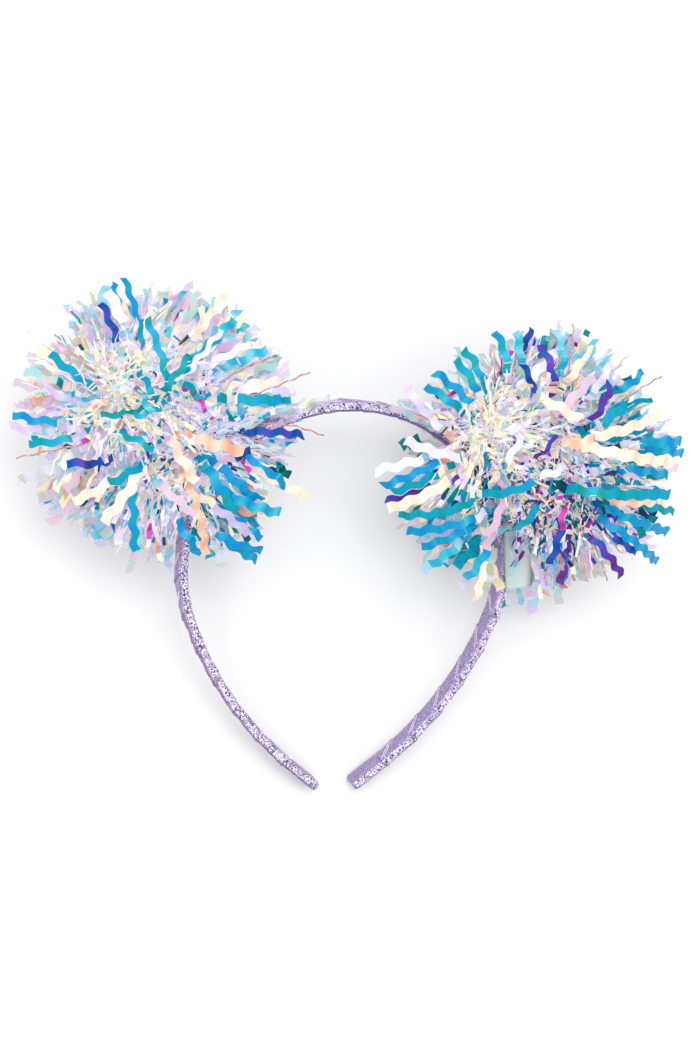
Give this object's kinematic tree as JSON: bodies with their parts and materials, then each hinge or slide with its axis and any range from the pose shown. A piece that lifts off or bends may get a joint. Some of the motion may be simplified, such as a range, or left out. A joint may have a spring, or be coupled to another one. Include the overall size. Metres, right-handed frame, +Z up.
{
  "type": "headband",
  "caption": "Light-up costume headband: a ribbon-wound hoop with a wavy film pompom and hidden light over each ear, and a small battery case.",
  "frame": {"origin": "on the table, under the middle of the headband's whole box", "axes": "+X is to the right as seen from the front, which faces up, +Y from the tips to the crown, +Z up from the table that it lies on"},
  "size_m": [0.2506, 0.1838, 0.1029],
  "materials": {
    "glitter_ribbon": "woven lilac ribbon with silver holographic glitter",
    "film": "thin iridescent film, teal and blue to peach, part see-through",
    "led_lens": "clear moulded lens",
    "frosted_case": "frosted pale grey-green"
  },
  "bodies": {
    "root": {"wrapped_band": "glitter_ribbon", "end_fold_left": "glitter_ribbon", "end_fold_right": "glitter_ribbon", "pompom_left": "film", "pompom_right": "film", "led_left": "led_lens", "led_right": "led_lens", "battery_case": "frosted_case"}
  },
  "joints": []
}
